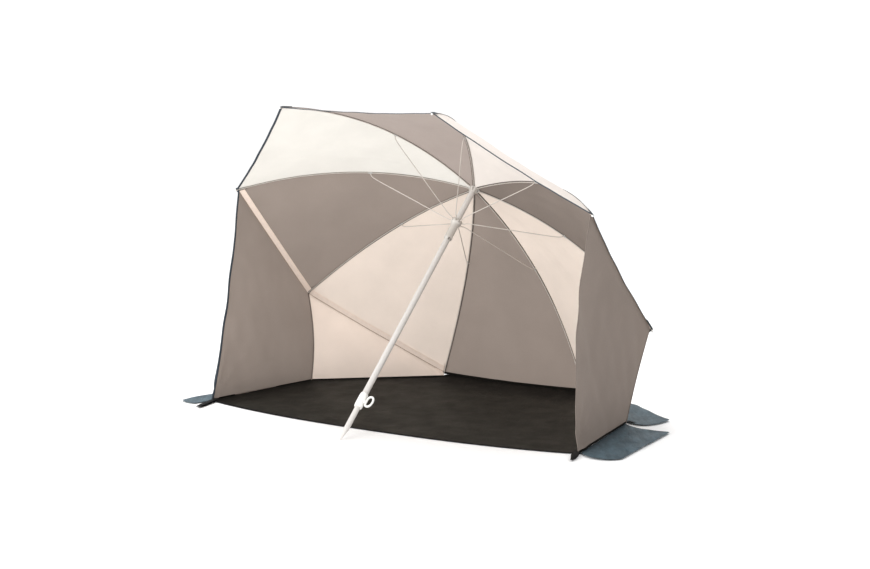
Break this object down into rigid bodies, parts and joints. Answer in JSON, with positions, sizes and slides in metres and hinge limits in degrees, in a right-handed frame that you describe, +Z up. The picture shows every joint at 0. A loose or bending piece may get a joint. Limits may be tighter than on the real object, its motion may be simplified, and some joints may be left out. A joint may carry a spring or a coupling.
{
  "type": "tarp shelter",
  "caption": "Tilted parasol beach shelter with folding ribs, side and rear walls, groundsheet, sand flaps and a telescoping spiked pole.",
  "frame": {"origin": "on the ground, under the rib crown, on the groundsheet's underside", "axes": "+Z up, +X to the right of someone looking in, the open side faces -Y"},
  "size_m": [2.049, 1.2883, 1.2654],
  "materials": {
    "band_fabric": "polyester tape",
    "cream_fabric": "plain-weave polyester, matt",
    "dark_plastic": "moulded, satin",
    "flap_fabric": "woven polyethylene, low sheen",
    "ground_fabric": "woven polyethylene, low sheen",
    "taupe_fabric": "plain-weave polyester, matt",
    "webbing": "woven webbing",
    "white_plastic": "moulded, satin",
    "white_steel": "white powder coat",
    "wire": "clear-coated wire"
  },
  "bodies": {
    "pole": {"pole_upper": "white_steel", "rib_crown": "white_plastic", "top_cap": "white_plastic", "clamp_collar": "white_plastic"},
    "lower_pole": {"pole_lower": "white_steel"},
    "clamp_screw": {"clamp_screw": "white_plastic"},
    "runner": {"runner": "white_plastic"},
    "runner_latch": {"runner_latch": "dark_plastic"},
    "rib_1": {"rib_1": "wire", "rib_tip_1": "white_plastic"},
    "rib_2": {"rib_2": "wire", "rib_tip_2": "white_plastic"},
    "rib_3": {"rib_3": "wire", "rib_tip_3": "white_plastic"},
    "rib_4": {"rib_4": "wire", "rib_tip_4": "white_plastic"},
    "rib_5": {"rib_5": "wire", "rib_tip_5": "white_plastic"},
    "rib_6": {"rib_6": "wire", "rib_tip_6": "white_plastic"},
    "rib_7": {"rib_7": "wire", "rib_tip_7": "white_plastic"},
    "rib_8": {"rib_8": "wire", "rib_tip_8": "white_plastic"},
    "stretcher_1": {"stretcher_1": "wire"},
    "stretcher_2": {"stretcher_2": "wire"},
    "stretcher_3": {"stretcher_3": "wire"},
    "stretcher_4": {"stretcher_4": "wire"},
    "stretcher_5": {"stretcher_5": "wire"},
    "stretcher_6": {"stretcher_6": "wire"},
    "stretcher_7": {"stretcher_7": "wire"},
    "stretcher_8": {"stretcher_8": "wire"},
    "panel_1": {"canopy_panel_1": "taupe_fabric"},
    "panel_2": {"canopy_panel_2": "cream_fabric"},
    "panel_3": {"canopy_panel_3": "taupe_fabric", "attachment_band_3": "band_fabric"},
    "panel_4": {"canopy_panel_4": "cream_fabric", "attachment_band_4": "band_fabric"},
    "panel_5": {"canopy_panel_5": "taupe_fabric"},
    "panel_6": {"canopy_panel_6": "cream_fabric", "attachment_band_6": "band_fabric"},
    "panel_7": {"canopy_panel_7": "taupe_fabric", "attachment_band_7": "band_fabric"},
    "panel_8": {"canopy_panel_8": "cream_fabric"},
    "side_wall_left": {"side_wall_left": "taupe_fabric"},
    "sand_flap_front_left": {"sand_flap_front_left": "flap_fabric"},
    "rear_wall_left": {"rear_wall_left": "cream_fabric"},
    "sand_flap_rear_left": {"sand_flap_rear_left": "flap_fabric"},
    "side_wall_right": {"side_wall_right": "taupe_fabric"},
    "sand_flap_front_right": {"sand_flap_front_right": "flap_fabric"},
    "rear_wall_right": {"rear_wall_right": "cream_fabric"},
    "sand_flap_rear_right": {"sand_flap_rear_right": "flap_fabric"},
    "groundsheet": {"groundsheet": "ground_fabric", "peg_loop_front_left": "webbing", "peg_loop_front_right": "webbing"}
  },
  "joints": [
    {"name": "canopy_fold", "type": "hinge", "parent": "pole", "child": "rib_1", "pos_m": [-0.00631, -0.01542, 0.89953], "axis": [0.9239, -0.259, 0.2817], "range_deg": [0, 67.2]},
    {"name": "rib_hinge_2", "type": "hinge", "parent": "pole", "child": "rib_2", "pos_m": [0.00631, -0.01542, 0.89953], "axis": [0.9239, 0.259, -0.2817], "range_deg": [0, 67.22]},
    {"name": "rib_hinge_3", "type": "hinge", "parent": "pole", "child": "rib_3", "pos_m": [0.01524, -0.00938, 0.89295], "axis": [0.3827, 0.6254, -0.6801], "range_deg": [0, 66.42]},
    {"name": "rib_hinge_4", "type": "hinge", "parent": "pole", "child": "rib_4", "pos_m": [0.01524, -0.00083, 0.88366], "axis": [-0.3827, 0.6254, -0.6801], "range_deg": [0, 67.72]},
    {"name": "rib_hinge_5", "type": "hinge", "parent": "pole", "child": "rib_5", "pos_m": [0.00631, 0.00521, 0.87708], "axis": [-0.9239, 0.259, -0.2817], "range_deg": [0, 68.52]},
    {"name": "rib_hinge_6", "type": "hinge", "parent": "pole", "child": "rib_6", "pos_m": [-0.00631, 0.00521, 0.87708], "axis": [-0.9239, -0.259, 0.2817], "range_deg": [0, 68.52]},
    {"name": "rib_hinge_7", "type": "hinge", "parent": "pole", "child": "rib_7", "pos_m": [-0.01524, -0.00083, 0.88366], "axis": [-0.3827, -0.6254, 0.6801], "range_deg": [0, 67.72]},
    {"name": "rib_hinge_8", "type": "hinge", "parent": "pole", "child": "rib_8", "pos_m": [-0.01524, -0.00938, 0.89295], "axis": [0.3827, -0.6254, 0.6801], "range_deg": [0, 66.42]},
    {"name": "runner_slide", "type": "slide", "parent": "pole", "child": "runner", "axis": [0, -0.7361, -0.6769], "range_m": [0, 0.66171]},
    {"name": "latch_press", "type": "hinge", "parent": "runner", "child": "runner_latch", "pos_m": [0.01264, -0.21365, 0.71094], "axis": [-0.6428, -0.5185, 0.5639], "range_deg": [0, 18], "stiffness_Nm_per_rad": 0.02},
    {"name": "stretcher_hinge_1", "type": "hinge", "parent": "runner", "child": "stretcher_1", "pos_m": [-0.00708, -0.15172, 0.7767], "axis": [-0.9239, 0.259, -0.2817], "range_deg": [0, 64.89]},
    {"name": "stretcher_hinge_2", "type": "hinge", "parent": "runner", "child": "stretcher_2", "pos_m": [0.00708, -0.15172, 0.7767], "axis": [-0.9239, -0.259, 0.2817], "range_deg": [0, 64.89]},
    {"name": "stretcher_hinge_3", "type": "hinge", "parent": "runner", "child": "stretcher_3", "pos_m": [0.01709, -0.14494, 0.76933], "axis": [-0.3827, -0.6254, 0.6801], "range_deg": [0, 65.62]},
    {"name": "stretcher_hinge_4", "type": "hinge", "parent": "runner", "child": "stretcher_4", "pos_m": [0.01709, -0.13536, 0.75891], "axis": [0.3827, -0.6254, 0.6801], "range_deg": [0, 64.44]},
    {"name": "stretcher_hinge_5", "type": "hinge", "parent": "runner", "child": "stretcher_5", "pos_m": [0.00708, -0.12858, 0.75154], "axis": [0.9239, -0.259, 0.2817], "range_deg": [0, 63.72]},
    {"name": "stretcher_hinge_6", "type": "hinge", "parent": "runner", "child": "stretcher_6", "pos_m": [-0.00708, -0.12858, 0.75154], "axis": [0.9239, 0.259, -0.2817], "range_deg": [0, 63.72]},
    {"name": "stretcher_hinge_7", "type": "hinge", "parent": "runner", "child": "stretcher_7", "pos_m": [-0.01709, -0.13536, 0.75891], "axis": [0.3827, 0.6254, -0.6801], "range_deg": [0, 64.44]},
    {"name": "stretcher_hinge_8", "type": "hinge", "parent": "runner", "child": "stretcher_8", "pos_m": [-0.01709, -0.14494, 0.76933], "axis": [-0.3827, 0.6254, -0.6801], "range_deg": [0, 65.62]},
    {"name": "panel_fold_1", "type": "hinge", "parent": "pole", "child": "panel_1", "pos_m": [0, -0.01627, 0.90045], "axis": [1, 0, 0], "range_deg": [0, 64.9], "deforming": ["canopy_panel_1"]},
    {"name": "panel_fold_2", "type": "hinge", "parent": "pole", "child": "panel_2", "pos_m": [0.01167, -0.013, 0.89689], "axis": [0.7071, 0.4786, -0.5205], "range_deg": [0, 64.48], "deforming": ["canopy_panel_2"]},
    {"name": "panel_fold_3", "type": "hinge", "parent": "pole", "child": "panel_3", "pos_m": [0.0165, -0.00511, 0.88831], "axis": [0, 0.6769, -0.7361], "range_deg": [0, 64.74], "deforming": ["canopy_panel_3", "attachment_band_3"]},
    {"name": "panel_fold_4", "type": "hinge", "parent": "pole", "child": "panel_4", "pos_m": [0.01167, 0.00279, 0.87972], "axis": [-0.7071, 0.4786, -0.5205], "range_deg": [0, 65.85], "deforming": ["canopy_panel_4", "attachment_band_4"]},
    {"name": "panel_fold_5", "type": "hinge", "parent": "pole", "child": "panel_5", "pos_m": [0, 0.00606, 0.87616], "axis": [-1, 0, 0], "range_deg": [0, 66.28], "deforming": ["canopy_panel_5"]},
    {"name": "panel_fold_6", "type": "hinge", "parent": "pole", "child": "panel_6", "pos_m": [-0.01167, 0.00279, 0.87972], "axis": [-0.7071, -0.4786, 0.5205], "range_deg": [0, 65.85], "deforming": ["canopy_panel_6", "attachment_band_6"]},
    {"name": "panel_fold_7", "type": "hinge", "parent": "pole", "child": "panel_7", "pos_m": [-0.0165, -0.00511, 0.88831], "axis": [0, -0.6769, 0.7361], "range_deg": [0, 64.74], "deforming": ["canopy_panel_7", "attachment_band_7"]},
    {"name": "panel_fold_8", "type": "hinge", "parent": "pole", "child": "panel_8", "pos_m": [-0.01167, -0.013, 0.89689], "axis": [0.7071, -0.4786, 0.5205], "range_deg": [0, 64.48], "deforming": ["canopy_panel_8"]},
    {"name": "side_wall_left_fold", "type": "hinge", "parent": "panel_7", "child": "side_wall_left", "pos_m": [-0.84671, -0.27871, 0.63035], "axis": [0, -0.6769, 0.7361], "range_deg": [-65.22, 0], "deforming": ["side_wall_left"]},
    {"name": "sand_flap_front_left_fold", "type": "hinge", "parent": "side_wall_left", "child": "sand_flap_front_left", "pos_m": [-0.83946, -0.38799, 0.0005], "axis": [0.1686, 0.9857, 0], "range_deg": [0, 86.02], "deforming": ["sand_flap_front_left"]},
    {"name": "rear_wall_left_fold", "type": "hinge", "parent": "panel_6", "child": "rear_wall_left", "pos_m": [-0.61084, 0.133, 0.20661], "axis": [-0.7071, -0.4786, 0.5205], "range_deg": [-49.5, 0], "deforming": ["rear_wall_left"]},
    {"name": "sand_flap_rear_left_fold", "type": "hinge", "parent": "rear_wall_left", "child": "sand_flap_rear_left", "pos_m": [-0.5685, 0.09474, 0.0005], "axis": [0.7464, 0.6655, 0], "range_deg": [0, 86.02], "deforming": ["sand_flap_rear_left"]},
    {"name": "side_wall_right_fold", "type": "hinge", "parent": "panel_3", "child": "side_wall_right", "pos_m": [0.84671, -0.27871, 0.63035], "axis": [0, 0.6769, -0.7361], "range_deg": [-65.22, 0], "deforming": ["side_wall_right"]},
    {"name": "sand_flap_front_right_fold", "type": "hinge", "parent": "side_wall_right", "child": "sand_flap_front_right", "pos_m": [0.83946, -0.38799, 0.0005], "axis": [0.1686, -0.9857, 0], "range_deg": [0, 86.02], "deforming": ["sand_flap_front_right"]},
    {"name": "rear_wall_right_fold", "type": "hinge", "parent": "panel_4", "child": "rear_wall_right", "pos_m": [0.61084, 0.133, 0.20661], "axis": [-0.7071, 0.4786, -0.5205], "range_deg": [-49.5, 0], "deforming": ["rear_wall_right"]},
    {"name": "sand_flap_rear_right_fold", "type": "hinge", "parent": "rear_wall_right", "child": "sand_flap_rear_right", "pos_m": [0.5685, 0.09474, 0.0005], "axis": [0.7464, -0.6655, 0], "range_deg": [0, 86.02], "deforming": ["sand_flap_rear_right"]},
    {"name": "groundsheet_fold", "type": "hinge", "parent": "panel_5", "child": "groundsheet", "pos_m": [0, 0.29, 0], "axis": [-1, 0, 0], "range_deg": [-106.88, 0], "deforming": ["groundsheet", "peg_loop_front_left", "peg_loop_front_right"]},
    {"name": "lower_pole_slide", "type": "slide", "parent": "pole", "child": "lower_pole", "axis": [0, -0.7361, -0.6769], "range_m": [-0.07, 0.35]},
    {"name": "clamp_turn", "type": "hinge", "parent": "pole", "child": "clamp_screw", "pos_m": [0.02, -0.82958, 0.13016], "axis": [1, 0, 0], "range_deg": [0, 450]}
  ],
  "couplings": [
    {"joint": "rib_hinge_2", "follows": "canopy_fold", "ratio": 1},
    {"joint": "rib_hinge_3", "follows": "canopy_fold", "ratio": 0.98809},
    {"joint": "rib_hinge_4", "follows": "canopy_fold", "ratio": 1.0074},
    {"joint": "rib_hinge_5", "follows": "canopy_fold", "ratio": 1.0193},
    {"joint": "rib_hinge_6", "follows": "canopy_fold", "ratio": 1.0193},
    {"joint": "rib_hinge_7", "follows": "canopy_fold", "ratio": 1.0074},
    {"joint": "rib_hinge_8", "follows": "canopy_fold", "ratio": 0.98809},
    {"joint": "runner_slide", "follows": "canopy_fold", "m_per_rad": 0.56402},
    {"joint": "stretcher_hinge_1", "follows": "canopy_fold", "ratio": 0.9654},
    {"joint": "stretcher_hinge_2", "follows": "canopy_fold", "ratio": 0.9654},
    {"joint": "stretcher_hinge_3", "follows": "canopy_fold", "ratio": 0.9762},
    {"joint": "stretcher_hinge_4", "follows": "canopy_fold", "ratio": 0.95868},
    {"joint": "stretcher_hinge_5", "follows": "canopy_fold", "ratio": 0.94797},
    {"joint": "stretcher_hinge_6", "follows": "canopy_fold", "ratio": 0.94797},
    {"joint": "stretcher_hinge_7", "follows": "canopy_fold", "ratio": 0.95868},
    {"joint": "stretcher_hinge_8", "follows": "canopy_fold", "ratio": 0.9762},
    {"joint": "panel_fold_1", "follows": "canopy_fold", "ratio": 0.9655},
    {"joint": "panel_fold_2", "follows": "canopy_fold", "ratio": 0.95922},
    {"joint": "panel_fold_3", "follows": "canopy_fold", "ratio": 0.96314},
    {"joint": "panel_fold_4", "follows": "canopy_fold", "ratio": 0.97966},
    {"joint": "panel_fold_5", "follows": "canopy_fold", "ratio": 0.98596},
    {"joint": "panel_fold_6", "follows": "canopy_fold", "ratio": 0.97966},
    {"joint": "panel_fold_7", "follows": "canopy_fold", "ratio": 0.96314},
    {"joint": "panel_fold_8", "follows": "canopy_fold", "ratio": 0.95922},
    {"joint": "side_wall_left_fold", "follows": "canopy_fold", "ratio": -0.97021},
    {"joint": "sand_flap_front_left_fold", "follows": "canopy_fold", "ratio": 1.2798},
    {"joint": "rear_wall_left_fold", "follows": "canopy_fold", "ratio": -0.7363},
    {"joint": "sand_flap_rear_left_fold", "follows": "canopy_fold", "ratio": 1.2798},
    {"joint": "side_wall_right_fold", "follows": "canopy_fold", "ratio": -0.97021},
    {"joint": "sand_flap_front_right_fold", "follows": "canopy_fold", "ratio": 1.2798},
    {"joint": "rear_wall_right_fold", "follows": "canopy_fold", "ratio": -0.7363},
    {"joint": "sand_flap_rear_right_fold", "follows": "canopy_fold", "ratio": 1.2798},
    {"joint": "groundsheet_fold", "follows": "canopy_fold", "ratio": -1.5901}
  ]
}
